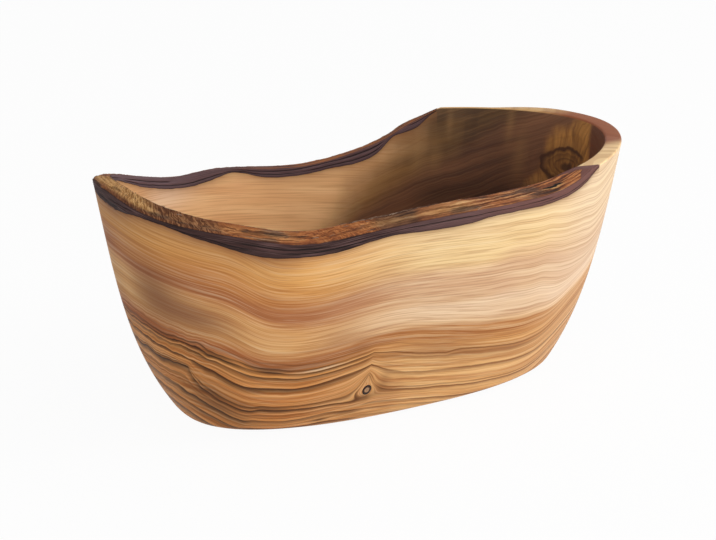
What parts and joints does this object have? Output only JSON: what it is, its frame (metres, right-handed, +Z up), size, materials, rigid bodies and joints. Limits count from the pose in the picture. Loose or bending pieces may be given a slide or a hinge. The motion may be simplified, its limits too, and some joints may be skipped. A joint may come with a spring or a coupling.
{
  "type": "wooden bowl",
  "caption": "Deep oval live-edge bowl carved from half a log, with a wavy rim that keeps its bark, one end sawn level, and a flat foot to stand on.",
  "frame": {"origin": "on the flat foot, under the middle of the rim's length and width", "axes": "+X along the bowl towards its sawn end, -Y towards the high bark side, +Z up"},
  "size_m": [0.2504, 0.1506, 0.1109],
  "materials": {
    "carved_wood": "oiled satin, striped heartwood under golden sapwood",
    "inner_bark": "dry, dark purple-brown",
    "outer_bark": "rough, fibrous, brown with rusty patches",
    "knot_wood": "sanded end grain"
  },
  "bodies": {
    "root": {"bowl_body": "carved_wood", "inner_bark": "inner_bark", "outer_bark": "outer_bark", "pin_knot": "knot_wood"}
  },
  "joints": []
}
